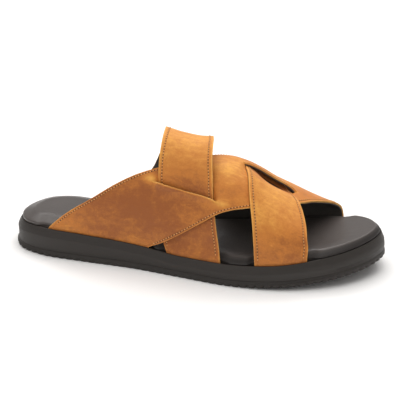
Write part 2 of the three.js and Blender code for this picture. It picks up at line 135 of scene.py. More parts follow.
# Each strap's two edges as shares of the sole's length. layer: 1 lies on another strap, -1 under one.
# rear_slack and front_slack: share of the instep slack that lifts each edge off the form.
STRAP_COLUMNS = "turn rear front layer rear_slack front_slack"
WING_STRAP = table(
    STRAP_COLUMNS,
    (0, 0.114, 0.4),
    (4, 0.137, 0.437),
    (10, 0.171, 0.476),
    (20, 0.232, 0.534),
    (30, 0.283, 0.588),
    (43, 0.346, 0.662),
    (57, 0.41, 0.715),
    (75, 0.468, 0.77),
    (92, 0.52, 0.805),
    (110, 0.566, 0.835),
    (130, 0.612, 0.855),
    (150, 0.66, 0.866),
    (180, 0.72, 0.872),
)
INSTEP_STRAP = table(
    STRAP_COLUMNS,
    (0, 0.452, 0.602),
    (4, 0.441, 0.598, -0.55),
    (10, 0.438, 0.592, -1),
    (33, 0.426, 0.575, -1),
    (43.4, 0.42, 0.57),
    (54, 0.417, 0.568, 1, 0.1, 0.12),
    (70, 0.411, 0.56, 1, 0.5, 0.62),
    (90, 0.4, 0.548, 1, 0.86, 0.98),
    (110, 0.388, 0.53, 1, 0.9, 1.0),
    (130, 0.376, 0.515, 1, 0.65, 0.8),
    (150, 0.352, 0.493, 0.6, 0.3, 0.38),
    (165, 0.312, 0.468, 0.2, 0.1, 0.12),
    (180, 0.26, 0.443),
)
TOE_STRAP = table(
    STRAP_COLUMNS,
    (0, 0.695, 0.827),
    (15, 0.69, 0.827, 0.25),
    (30, 0.682, 0.82, 0.9),
    (45, 0.67, 0.812, 1),
    (60, 0.658, 0.799, 1),
    (74, 0.648, 0.783, 0.8),
    (84, 0.641, 0.77, 0.15),
    (93, 0.634, 0.76, -0.8),
    (104, 0.622, 0.743, -1.3),
    (130, 0.584, 0.705, -1.2),
    (150, 0.548, 0.678, -1),
    (165, 0.527, 0.663, -0.5),
    (180, 0.507, 0.65),
)

# The two slits of the wing strap, from rear to front, and the row of its grid that each follows.
REAR_SLIT = table("along turn", (0.404, 43.6), (0.465, 43.8), (0.53, 42.4), (0.586, 39))
FRONT_SLIT = table("along turn", (0.623, 92), (0.66, 95), (0.7, 97), (0.766, 94.5))
REAR_SLIT_ROW = 43
FRONT_SLIT_ROW = 96

# Soft forms of the leather, by strap. lift and tone: height and lightness at the middle.
# turn and share: where it lies. length: along the strap, width: across it.
WING_FOLDS = table(
    "turn share length width lift tone",
    (8, 1.0, 0.022, 0.016, 1.3 * MM, 0),
    (28, 0.5, 0.035, 0.04, 0.5 * MM, -0.75),
    (14, 0.25, 0.03, 0.03, 0, -0.4),
    (45, 0.13, 0.004, 0.007, 0.7 * MM, 1.4),
    (38, 0.87, 0.003, 0.005, 0.9 * MM, 1.0),
    (75, 0.45, 0.012, 0.012, 0, 0.35),
    (66, 0.5, 0.02, 0.016, 0, 0.35),
    (68, 0.75, 0.02, 0.01, 0, 0.2),
    (56, 0.62, 0.012, 0.02, 0, -0.25),
    (112, 0.6, 0.03, 0.02, 0.3 * MM, 0.2),
)
INSTEP_FOLDS = table(
    "turn share length width lift tone",
    (92, 0.5, 0.035, 0.04, 0, 0.45),
    (15, 0.6, 0.03, 0.04, 0, -0.75),
    (49, 0.5, 0.008, 0.04, -0.3 * MM, -0.3),
)
TOE_FOLDS = table(
    "turn share length width lift tone",
    # This first row's tone is so low that the dip inside the front slit is painted as near-black
    # shadow.
    (95.5, 0.58, 0.0065, 0.0125, -4.2 * MM, -3.2),
    (58, 0.5, 0.05, 0.03, 0, 0.5),
    (26, 0.5, 0.006, 0.03, -0.25 * MM, -0.15),
    (20, 0.55, 0.006, 0.03, 0.2 * MM, 0.05),
    (8, 0.5, 0.02, 0.04, 0, -0.6),
)

# The footbed's shoulder. inward: share of its width from its foot. drop: share of its fall.
SHOULDER = table(
    "inward drop",
    (0.0, 1.0),
    (0.03, 0.88),
    (0.12, 0.76),
    (0.3, 0.57),
    (0.5, 0.36),
    (0.68, 0.17),
    (0.8, 0.065),
    (0.9, 0.015),
    (1.0, 0.0),
)

# The foot form's roundness at its sides and top, and the points of the outline.
ARCH_SIDE = 0.92
ARCH_TOP = 0.88
EDGE_POINTS = 720
SPLINE_STEPS = 60

# The footbed's shoulder: its rings, and how they crowd towards its foot.
SHOULDER_RINGS = 20
SHOULDER_CROWDING = 1.6

# Where the toe's shapes fade in, as shares of the sole's length from and to.
TOE_BEND = (0.78, 0.95)
TOE_END = (0.8, 1)
TOE_CROWN = (0.86, 1)
HEEL_CROWN = (-0.3, 0)

# The shoulder's width at ball and toe as a share of the heel's, and where it changes.
BALL_SHOULDER = 0.6
TOE_SHOULDER = 0.32
HEEL_TO_BALL = (0.16, 0.4)
BALL_TO_TOE = (0.84, 0.97)

# Depths of one notch from tooth to tooth, and the waist along which the notches are shallower.
NOTCH = (0, 0, 0.35, 1, 0.35, 0)
WAIST_FROM = (0.1, 0.25)
WAIST_TO = (0.5, 0.68)
WAIST_LOSS = 0.55

# The arch of the footbed, as shares of the sole's length and of its width from the inner side.
WAIST_ALONG = 0.42
WAIST_REACH = 0.11
WAIST_ACROSS = 0.55

# The straps' grids as rows along and columns across, the rows of a strap's foot, and the reach in
# degrees of a fold, of a bend around a slit, of a parted lip and of its curl.
WING_GRID = (180, 64)
NARROW_GRID = (120, 28)
FOOT_ROWS = 4
FOLD_REACH = 60
BEND_REACH = 24
LIP_REACH = 20
CURL_REACH = 5

# Shares of the sole's length: how far inside its ends a slit's lips stand fully parted, and how
# far beyond them its cut may run. Then the leather's length along a strap in one degree of turn.
LIP_FADE = 0.017
CUT_BEYOND = 0.004
DEGREE_WIDTH = 0.9 * MM

# The straps' edges: rounding of the leather and the lining, and how far the lining lies back.
LEATHER_ROUND = 0.25 * MM
LINING_ROUND = 0.2 * MM
LINING_INSET = 0.3 * MM
LINING_GAP = 0.02 * MM

# A seam's first and last turn and its step, in degrees.
SEAM_START = 2.0
SEAM_END = 178
SEAM_STEP = 0.12

# Half a stitch as a share of the pitch, how far it stands off as a share of the thread, and a
# needle hole's depth and how far its middle is sunk.
STITCH_SHARE = 0.34
THREAD_LIFT = 0.2
HOLE_DEPTH = 0.24 * MM
HOLE_SINK = 0.02 * MM

# Colours that a user wouldn't change.
# Painted shadow for the toe strap's dip inside the front slit.
PAINTED_SHADOW = (0.02, 0.012, 0.008, 1)
PIT_BROWN = (0.28, 0.09, 0.04, 1)
PIT_DARK = (0.12, 0.045, 0.02, 1)
# Painted highlight along the footbed's ridge.
PAINTED_RIDGE_HIGHLIGHT = (0.12, 0.105, 0.098, 1)
FLOOR_WHITE = (0.99, 0.985, 0.98, 1)
WORLD_WHITE = (1.0, 0.985, 0.97, 1)
WORLD_STRENGTH = 0.47
FLOOR_REACH = 4

# Soft rectangular lights. Their directions are in degrees and the rest in metres and watts.
LIGHTS = table(
    "name azimuth elevation distance width height power colour shines",
    ("top", 178, 72, 1.6, 2.3, 1.9, 26, (1.0, 0.985, 0.97), False),
    ("back", 192, 50, 1.9, 1.8, 0.5, 8, (1.0, 0.99, 0.98), True),
    ("front", -30, 48, 1.7, 1.0, 0.8, 3, (1.0, 0.985, 0.96), True),
)
LIGHT_TARGET = Vector((0, 0, 0.03))

# The photograph's camera: angles in degrees, lens and sensor in millimetres, the rest in metres.
CAMERA_TARGET = Vector((-0.0001, 0.0108, 0.0411))
CAMERA_AZIMUTH = 14.436
CAMERA_ELEVATION = 22.856
CAMERA_ROLL = -0.218
CAMERA_DISTANCE = 1.3487
CAMERA_LENS = 154.99
CAMERA_SENSOR = 36
CAMERA_START = 0.05


def metres(name, description, default):
    """A length that a user can change."""
    return FloatProperty(name=name, description=description, default=default, unit="LENGTH")


def tint(name, description, default):
    """A colour that a user can change."""
    return FloatVectorProperty(name=name, description=description, default=default, subtype="COLOR")


class SandalSizes(bpy.types.PropertyGroup):
    """Sizes of the sandal."""

    sole_length: metres("Sole Length", "Underside, heel to toe", 0.292)
    ball_width: metres("Ball Width", "Widest part of the sole", 0.106)
    heel_width: metres("Heel Width", "Width of the heel", 0.073)
    heel_rim: metres("Heel Rim", "Rim height at the heel", 0.0223)
    ball_rim: metres("Ball Rim", "Rim height at the ball", 0.016)
    toe_rim: metres("Toe Rim", "Rim height at the toe", 0.0187)
    toe_spring: metres("Toe Spring", "Lift of the toe", 0.011)
    outsole_thickness: metres("Outsole Thickness", "Rubber layer", 0.005)
    outsole_lip: metres("Outsole Lip", "Flare of the outsole", 0.0014)
    tooth_pitch: metres("Tooth Pitch", "Spacing of the teeth", 0.0063)
    tooth_depth: metres("Tooth Depth", "Depth of the notches", 0.0015)
    tooth_height: metres("Tooth Height", "Height of the teeth", 0.0026)
    wall_bulge: metres("Wall Bulge", "How far the wall stands out", 0.0003)
    rim_lean: metres("Rim Lean", "How far the rim leans in", 0.0024)
    rim_bevel: metres("Rim Bevel", "Height of the bevel", 0.005)
    toe_bevel: metres("Toe Bevel", "Height of the bevel at the toe", 0.011)
    rim_width: metres("Rim Width", "Width of the rim's top", 0.0016)
    groove_depth: metres("Groove Depth", "Depth behind the rim", 0.007)
    foot_room: metres("Foot Room", "Footbed clear of each strap", 0.0025)
    footbed_rise: metres("Footbed Rise", "Footbed above the rim", 0.005)
    footbed_round: metres("Footbed Round", "Fall of its shoulder", 0.0042)
    footbed_slope: metres("Footbed Slope", "Width of its shoulder", 0.013)
    footbed_lap: metres("Footbed Lap", "How far it laps over the rim", 0.001)
    footbed_dish: metres("Footbed Dish", "Depth of its dish", 0.0026)
    heel_rise: metres("Heel Rise", "Extra rise at the heel", 0.0016)
    toe_rise: metres("Toe Rise", "Extra rise at the toe", 0.0006)
    arch_rise: metres("Arch Rise", "Rise under the arch", 0.003)
    crest_height: metres("Crest Height", "Top of the foot form", 0.082)
    crest_shift: metres("Crest Shift", "Crest towards the inner side", 0.005)
    leather: metres("Leather", "Thickness of the straps' leather", 0.0015)
    lining: metres("Lining", "Thickness of the straps' lining", 0.0009)
    layer: metres("Layer", "Step from strap to strap", 0.0025)
    instep_slack: metres("Instep Slack", "Free arch of the instep strap", 0.012)
    slit_gape: FloatProperty(
        name="Slit Gape", description="Opening of the front slit, in degrees of turn", default=4
    )
    lip_curl: metres("Lip Curl", "How far a slit's lip curls out", 0.0008)
    fit_gap: metres("Fit Gap", "Room between pieces", 0.0003)
    seam_inset: metres("Seam Inset", "Seam from the edge", 0.0029)
    stitch_pitch: metres("Stitch Pitch", "Spacing of stitches", 0.0023)
    thread: metres("Thread", "Thickness of the thread", 0.0007)
    needle_hole: metres("Needle Hole", "Radius of a needle hole", 0.00055)


class SandalColours(bpy.types.PropertyGroup):
    """Colours of the sandal."""

    leather: tint("Leather", "Middle tone", (0.6, 0.208, 0.034))
    # The dark tone also carries the painted shade along the seam's groove and in the front slit's dip.
    leather_dark: tint("Oiled", "Dark tone", (0.34, 0.1, 0.02))
    leather_light: tint("Pulled", "Light tone", (0.92, 0.46, 0.09))
    cut_edge: tint("Cut Edge", "Raw edge", (0.82, 0.45, 0.13))
    thread: tint("Thread", "Stitching", (0.66, 0.37, 0.19))
    lining: tint("Lining", "Inside", (0.09, 0.079, 0.07))
    footbed: tint("Footbed", "Footbed cover", (0.034, 0.0272, 0.0242))
    rubber: tint("Rubber", "Sole", (0.021, 0.0165, 0.0135))


def mix(a, b, t):
    """The value a share t of the way from a to b."""
    return a + (b - a) * t


def smoothstep(low, high, value):
    """0 below low, 1 above high and smooth between."""
    t = min(max((value - low) / (high - low), 0.0), 1.0)
    return t * t * (3 - 2 * t)


def smooth_column(rows, key, value):
    """A smooth function through one column of a table, with no overshoot between its rows."""
    xs = [getattr(row, key) for row in rows]
    ys = [value(row) for row in rows]
    last = len(xs) - 1
    slopes = [(ys[i + 1] - ys[i]) / (xs[i + 1] - xs[i]) for i in range(last)]
    leans = [slopes[0]]
    for before, after in zip(slopes, slopes[1:]):
        leans.append(0.0 if before * after <= 0 else 2 * before * after / (before + after))
    leans.append(slopes[-1])

    def at(x):
        q = min(max(x, xs[0]), xs[-1])
        i = min(max(bisect_right(xs, q) - 1, 0), last - 1)
        width = xs[i + 1] - xs[i]
        t = (q - xs[i]) / width
        s = 1 - t
        ends = ys[i] * s * s * (1 + 2 * t) + ys[i + 1] * t * t * (3 - 2 * t)
        return ends + width * t * s * (leans[i] * s - leans[i + 1] * t)

    return at


def closed_spline(knots, count):
    """Evenly spaced points on a closed centripetal spline through the knots."""
    size = len(knots)
    fine = []
    for i in range(size):
        p = [knots[(i + k) % size] for k in (-1, 0, 1, 2)]
        d = [max((p[k + 1] - p[k]).length ** 0.5, 1e-6) for k in range(3)]
        start = (p[1] - p[0]) / d[0] - (p[2] - p[0]) / (d[0] + d[1]) + (p[2] - p[1]) / d[1]
        end = (p[2] - p[1]) / d[1] - (p[3] - p[1]) / (d[1] + d[2]) + (p[3] - p[2]) / d[2]
        start *= d[1]
        end *= d[1]
        for step in range(SPLINE_STEPS):
            t = step / SPLINE_STEPS
            a = p[1] * (2 * t**3 - 3 * t**2 + 1) + start * (t**3 - 2 * t**2 + t)
            fine.append(a + p[2] * (3 * t**2 - 2 * t**3) + end * (t**3 - t**2))
    fine.append(fine[0].copy())
    lengths = [0.0]
    for a, b in zip(fine, fine[1:]):
        lengths.append(lengths[-1] + (b - a).length)
    points = []
    for n in range(count):
        want = lengths[-1] * n / count
        i = min(bisect_right(lengths, want) - 1, len(fine) - 2)
        points.append(fine[i].lerp(fine[i + 1], (want - lengths[i]) / (lengths[i + 1] - lengths[i])))
    return points, lengths[-1]


class Form:
    """The outline, heights and foot form that every piece is made on, from the sizes."""

    def __init__(self, size):
        self.size = size
        length = size.sole_length
        knots = [
            Vector((r.along * length, r.heel * size.heel_width + r.ball * size.ball_width, 0))
            for r in OUTLINE
        ]
        self.edge, self.perimeter = closed_spline(knots, EDGE_POINTS)
        self.normals = []
        for i in range(EDGE_POINTS):
            run = self.edge[(i + 1) % EDGE_POINTS] - self.edge[i - 1]
            self.normals.append(Vector((-run.y, run.x, 0)).normalized())
        xs = [p.x for p in self.edge]
        ys = [p.y for p in self.edge]
        self.centre = Vector(((min(xs) + max(xs)) / 2, (min(ys) + max(ys)) / 2, 0))
        self.insets = {}
        self.spring = smooth_column(SPRING, "along", lambda r: r.rise * size.toe_spring)
        self.rim = smooth_column(
            RIM,
            "along",
            lambda r: r.heel * size.heel_rim + r.ball * size.ball_rim + r.toe * size.toe_rim,
        )
        self.crest = smooth_column(CREST, "along", lambda r: r.rise * size.crest_height)
        self.rim_inset = size.rim_lean + size.rim_width
        self.strap_inset = self.rim_inset + size.fit_gap
        self.wall = size.leather + size.lining
        self.footbed_inset = self.strap_inset + self.wall + size.fit_gap

    def inset(self, distance):
        """The edge moved inwards: its range of x, and its inner and outer side as functions of x."""
        if distance in self.insets:
            return self.insets[distance]
        moved = [p - n * distance for p, n in zip(self.edge, self.normals)]
        heel = min(range(EDGE_POINTS), key=lambda i: moved[i].x)
        turned = moved[heel:] + moved[: heel + 1]
        toe = max(range(EDGE_POINTS), key=lambda i: turned[i].x)

        def side(run):
            xs = [p.x for p in run]

            def at(x):
                i = min(max(bisect_right(xs, x), 1), len(run) - 1)
                t = (x - xs[i - 1]) / max(xs[i] - xs[i - 1], 1e-9)
                return mix(run[i - 1].y, run[i].y, min(max(t, 0.0), 1.0))

            return at

        made = (turned[0].x, turned[toe].x, side(turned[: toe + 1]), side(turned[toe:][::-1]))
        self.insets[distance] = made
        return made

    def underside(self, x):
        return self.spring(x / self.size.sole_length)

    def outsole_top(self, x):
        return self.underside(x) + self.size.outsole_thickness

    def rim_top(self, x):
        return self.underside(x) + self.rim(x / self.size.sole_length)

    def recess_floor(self, x):
        return self.rim_top(x) - self.size.groove_depth

    def strap_room(self, x, turn):
        """1 where the footbed makes room for a strap's foot, 0 where it fills the groove."""
        size = self.size
        room = 0.0
        for rows in (WING_STRAP, INSTEP_STRAP, TOE_STRAP):
            foot = next(row for row in rows if row.turn == turn)
            rear, front = foot.rear * size.sole_length, foot.front * size.sole_length
            away = max(rear - x, x - front)
            room = max(room, 1 - smoothstep(size.foot_room, size.foot_room * 3, away))
        return room

    def crown(self, x):
        """Top of the footbed's shoulder."""
        size = self.size
        along = x / size.sole_length
        toe = size.toe_rise * smoothstep(*TOE_CROWN, along)
        heel = size.heel_rise * smoothstep(*HEEL_CROWN, -along)
        return self.rim_top(x) + size.footbed_rise + (toe + heel)

    def arch(self, x, turn):
        """A point of the foot form."""
        size = self.size
        inner = self.inset(self.strap_inset)
        low, high = inner[3](x), inner[2](x)
        foot = self.rim_top(x)
        angle = math.radians(turn)
        across = math.cos(angle)
        up = max(0.0, math.sin(angle))
        bulge = math.copysign(abs(across) ** ARCH_SIDE, across)
        rise = self.crest(x / size.sole_length) - foot
        y = (low + high) / 2 - (high - low) / 2 * bulge + size.crest_shift * up
        return Vector((x, y, foot + rise * up**ARCH_TOP))

    def arch_normal(self, x, turn):
        """The form's outward direction."""
        inside = min(max(turn, 0.5), 179.5)
        along = self.arch(x + MM / 2, inside) - self.arch(x - MM / 2, inside)
        around = self.arch(x, inside + 0.5) - self.arch(x, inside - 0.5)
        return along.cross(around).normalized()


class Strap:
    """One strap on the form: where its edges run and how far it stands off."""

    def __init__(self, form, rows, folds):
        self.form = form
        self.folds = folds
        names = STRAP_COLUMNS.split()[1:]
        self.column = {
            name: smooth_column(rows, "turn", lambda row, name=name: getattr(row, name))
            for name in names
        }

    def x_at(self, turn, share):
        ends = self.column["rear"](turn), self.column["front"](turn)
        return mix(*ends, share) * self.form.size.sole_length

    def layer(self, turn):
        return self.column["layer"](turn) * self.form.size.layer

    def fold(self, turn, share, point):
        """Height and tone of the soft forms at a place."""
        lift = tone = 0.0
        for f in self.folds:
            if abs(turn - f.turn) > FOLD_REACH:
                continue
            middle = self.form.arch(self.x_at(f.turn, f.share), f.turn)
            across = self.form.arch(self.x_at(f.turn, f.share + 0.05), f.turn) - middle
            gap = point - middle
            wide = gap.dot(across.normalized())
            long = (gap - across.normalized() * wide).length
            near = math.exp(-((long / f.length) ** 2) - (wide / f.width) ** 2)
            lift += f.lift * near
            tone += f.tone * near
        return lift, tone

    def place(self, turn, share, drop=0.0, out=0.0):
        """A point of the outer face, its tone, and the outward direction there."""
        size = self.form.size
        x = self.x_at(turn, share)
        base = self.form.arch(x, turn)
        normal = self.form.arch_normal(x, turn)
        slack = mix(self.column["rear_slack"](turn), self.column["front_slack"](turn), share)
        lift, tone = self.fold(turn, share, base)
        lift += self.layer(turn) + slack * size.instep_slack + out
        point = base + normal * lift - Vector((0, 0, drop)) - self.form.centre
        return point, tone, normal

    def width(self, turn):
        """Width of the strap, measured over its face."""
        steps = [self.place(turn, k / 6)[0] for k in range(7)]
        return sum((b - a).length for a, b in zip(steps, steps[1:]))


class Slit:
    """A slit of the wing strap that another strap passes through."""

    def __init__(self, wing, other, rows, grid_row, gape=0.0):
        self.turn_at = smooth_column(rows, "along", lambda row: row.turn)
        self.form = wing.form
        self.length = wing.form.size.sole_length
        self.start, self.end = rows[0].along, rows[-1].along
        self.row = grid_row
        self.wing, self.other, self.gape = wing, other, gape
        self.outwards_above = grid_row == FRONT_SLIT_ROW

    def warp(self, row, share, above):
        """How far the grid bends at this row, in degrees, so that one row follows each lip."""
        near = 1 - smoothstep(0, BEND_REACH, abs(row - self.row))
        if near <= 0:
            return 0.0
        turn = self.row
        for _ in range(4):
            turn = self.turn_at(self.wing.x_at(turn, share) / self.length)
        lens = 0.0
        if above:
            middle = (self.wing.x_at(turn, share) / self.length - self.start) / (self.end - self.start)
            lens = self.gape * math.sin(math.pi * min(max(middle, 0.0), 1.0))
        return (turn - self.row + lens) * near

    def distance(self, turn, along):
        """How far a place is from the slit, over the leather."""
        beyond = max(self.start - along, along - self.end, 0.0) * self.length
        return math.hypot(beyond, (turn - self.turn_at(along)) * DEGREE_WIDTH)

    def open(self, along):
        """1 where the lips part for the other strap, 0 at the slit's ends."""
        ends = along - self.start, self.end - along
        return smoothstep(0, LIP_FADE, ends[0]) * smoothstep(0, LIP_FADE, ends[1])

    def part(self, turn, along, above):
        """How far a lip stands out, or in, to let the other strap pass."""
        if abs(turn - self.turn_at(along)) > LIP_REACH:
            return 0.0
        step = self.form.size.layer
        x = along * self.length
        rear, front = self.other.x_at(turn, 0), self.other.x_at(turn, 1)
        lift, _ = self.other.fold(turn, (x - rear) / (front - rear), self.form.arch(x, turn))
        other = self.other.layer(turn) + lift
        if above == self.outwards_above:
            curl = 1 - smoothstep(0, CURL_REACH, abs(turn - self.turn_at(along) - self.gape / 2))
            return (max(0.0, other + step) + self.form.size.lip_curl * curl) * self.open(along)
        return min(0.0, other - step) * self.open(along)


def new_piece(bm, name, node, materials, smooth=True):
    """Turns a bmesh into a piece that rides on the body and stands for a node."""
    mesh = bpy.data.meshes.new(name)
    bm.to_mesh(mesh)
    bm.free()
    for material in materials:
        mesh.materials.append(material)
    if smooth:
        mesh.shade_smooth()
    piece = bpy.data.objects.new(name, mesh)
    bpy.context.collection.objects.link(piece)
    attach(piece, BODY)
    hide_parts(node)
    return piece


class Rings:
    """A closed shell grown ring by ring from a cap that lies inside the sole's outline."""

    def __init__(self, form, stations, columns, makes_room=False):
        self.form, self.stations, self.columns = form, stations, columns
        self.makes_room = makes_room
        self.bm = bmesh.new()
        self.station = self.bm.verts.layers.float.new("station")
        self.share = self.bm.verts.layers.float.new("share")
        self.fall = self.bm.verts.layers.float.new("fall")

    def side(self, station, inset, turn):
        """A point of the inner side, where turn is 180, or of the outer side, where turn is 0."""
        start, end, inner, outer = self.form.inset(inset)
        x = mix(start, end, (1 - math.cos(math.pi * station)) / 2)
        return Vector((x, (inner if turn else outer)(x), 0))

    def spot(self, station, share, inset, lap=0.0):
        """A place on the sole. lap: how far the footbed laps over the rim between the straps."""
        ends = []
        for turn in (180, 0):
            end = self.side(station, inset, turn)
            if self.makes_room:
                wider = inset - self.form.footbed_inset + self.form.strap_inset - lap
                end = self.side(station, wider, turn).lerp(end, self.form.strap_room(end.x, turn))
            ends.append(end)
        return ends[0].lerp(ends[1], share)

    def cap(self, inset, height, lap=0.0):
        """Adds a cap. height gives z from x and the share across."""
        made = bmesh.ops.create_grid(
            self.bm, x_segments=self.stations, y_segments=self.columns, size=1
        )
        for v in made["verts"]:
            v[self.station], v[self.share] = (v.co.x + 1) / 2, (v.co.y + 1) / 2
            v.co = self.spot(v[self.station], v[self.share], inset, lap)
            v.co.z = height(v.co.x, v[self.share])
        bmesh.ops.remove_doubles(self.bm, verts=made["verts"], dist=0.01 * MM)
        return [e for e in self.bm.edges if e.is_boundary]

    def grow(self, edges, inset, height, lap=0.0):
        """Adds a ring outside the last one. height gives z from x."""
        made = bmesh.ops.extrude_edge_only(self.bm, edges=edges)["geom"]
        for v in made:
            if isinstance(v, bmesh.types.BMVert):
                v.co = self.spot(v[self.station], round(v[self.share]), inset, lap)
                v.co.z = height(v.co.x)
                # How far the ring lies below the footbed's crown, faded out towards the heel; the
                # footbed's material paints shade and a highlight from it.
                fall = self.form.crown(v.co.x) - v.co.z
                v[self.fall] = fall * smoothstep(0.15, 0.5, v.co.x / self.form.size.sole_length)
        return [e for e in made if isinstance(e, bmesh.types.BMEdge) and e.is_boundary]

    def close(self, edges, inset, height):
        """Closes the shell with a second cap whose edge meets the last ring."""
        ring = {v for e in edges for v in e.verts}
        self.cap(inset, lambda x, share: height(x))
        near = [v for v in self.bm.verts if v.is_boundary or v in ring]
        bmesh.ops.remove_doubles(self.bm, verts=near, dist=0.02 * MM)

    def finish(self):
        """Moves the shell to the row's frame with its faces pointing out."""
        bmesh.ops.translate(self.bm, verts=self.bm.verts, vec=-self.form.centre)
        bmesh.ops.recalc_face_normals(self.bm, faces=self.bm.faces)
        return self.bm


def make_footbed(form):
    """The footbed: rounded shoulder, dish and arch."""
    size = form.size
    base = form.footbed_inset + size.fit_gap
    inner = base + size.footbed_slope
    inside = form.inset(inner)
    fall = smooth_column(SHOULDER, "inward", lambda row: row.drop * size.footbed_round)

    def shoulder(x, inset):
        """Height of the shoulder, which is broad at the heel and narrow at the toe."""
        along = x / size.sole_length
        share = mix(1, BALL_SHOULDER, smoothstep(*HEEL_TO_BALL, along))
        share = mix(share, TOE_SHOULDER, smoothstep(*BALL_TO_TOE, along))
        width = size.footbed_slope * share
        return form.crown(x) - fall(min(1.0, (inset - base) / width))

    def bowl(x, share):
        width = inside[2](x) - inside[3](x)
        fullness = min(1.0, (width / size.heel_width) ** 2)
        dish = size.footbed_dish * min(1.0, 3 * share * (1 - share)) * fullness
        arch = math.exp(-(((x / size.sole_length - WAIST_ALONG) / WAIST_REACH) ** 2))
        rise = size.arch_rise * arch * math.sin(math.pi * min(1.0, share / WAIST_ACROSS))
        return form.crown(x) + rise - dish

    def floor(x):
        return form.recess_floor(x) + size.fit_gap

    rings = Rings(form, stations=150, columns=30, makes_room=True)
    lap = size.footbed_lap
    edges = rings.cap(inner, bowl, lap)
    for step in reversed(range(SHOULDER_RINGS)):
        inset = base + size.footbed_slope * (step / SHOULDER_RINGS) ** SHOULDER_CROWDING
        edges = rings.grow(edges, inset, lambda x, inset=inset: shoulder(x, inset), lap)
    edges = rings.grow(edges, base, lambda x: form.rim_top(x) + 0.45 * MM, lap)
    edges = rings.grow(edges, base, lambda x: form.rim_top(x) + 0.15 * MM, lap / 2)
    edges = rings.grow(edges, form.footbed_inset, lambda x: form.rim_top(x) - 0.4 * MM)
    edges = rings.grow(edges, form.footbed_inset, floor)
    rings.close(edges, form.footbed_inset, floor)
    return rings.finish()


def make_midsole(form):
    """The midsole: a cup with a thin rim, a bevel with a soft crease under it and a plain wall."""
    size = form.size
    rings = Rings(form, stations=150, columns=6)
    rim = form.rim_inset
    lean, bulge = size.rim_lean, -size.wall_bulge
    top, base = form.rim_top, form.outsole_top

    def bevel(x):
        toe = smoothstep(*TOE_END, x / size.sole_length)
        return top(x) - min(mix(size.rim_bevel, size.toe_bevel, toe), (top(x) - base(x)) * 0.6)

    def crease(x, lift):
        return bevel(x) + lift * (1 + 3 * smoothstep(*TOE_BEND, x / size.sole_length))

    profile = (
        (rim, lambda x: top(x) - 0.8 * MM),
        (rim - 0.06 * MM, lambda x: top(x) - 0.35 * MM),
        (rim - 0.3 * MM, lambda x: top(x) - 0.08 * MM),
        (rim - 0.6 * MM, top),
        (lean + 0.75 * MM, top),
        (lean + 0.4 * MM, lambda x: top(x) - 0.1 * MM),
        (lean + 0.1 * MM, lambda x: top(x) - 0.4 * MM),
        (lean - 0.15 * MM, lambda x: top(x) - 0.8 * MM),
        (mix(lean, bulge, 0.5), lambda x: mix(top(x), bevel(x), 0.52)),
        (bulge + 0.45 * MM, lambda x: crease(x, 0.5 * MM)),
        (bulge + 0.4 * MM, lambda x: crease(x, 0.1 * MM)),
        (bulge + 0.12 * MM, lambda x: crease(x, -0.25 * MM)),
        (bulge, lambda x: crease(x, -0.8 * MM)),
        (bulge + 0.15 * MM, lambda x: mix(base(x), bevel(x), 0.5)),
        (bulge + 0.25 * MM, lambda x: base(x) + 0.5 * MM),
        (bulge + 0.3 * MM, lambda x: base(x) + 0.1 * MM),
        (bulge + 0.45 * MM, base),
    )
    edges = rings.cap(rim, lambda x, share: form.recess_floor(x))
    for inset, height in profile:
        edges = rings.grow(edges, inset, height)
    rings.close(edges, profile[-1][0], base)
    return rings.finish()


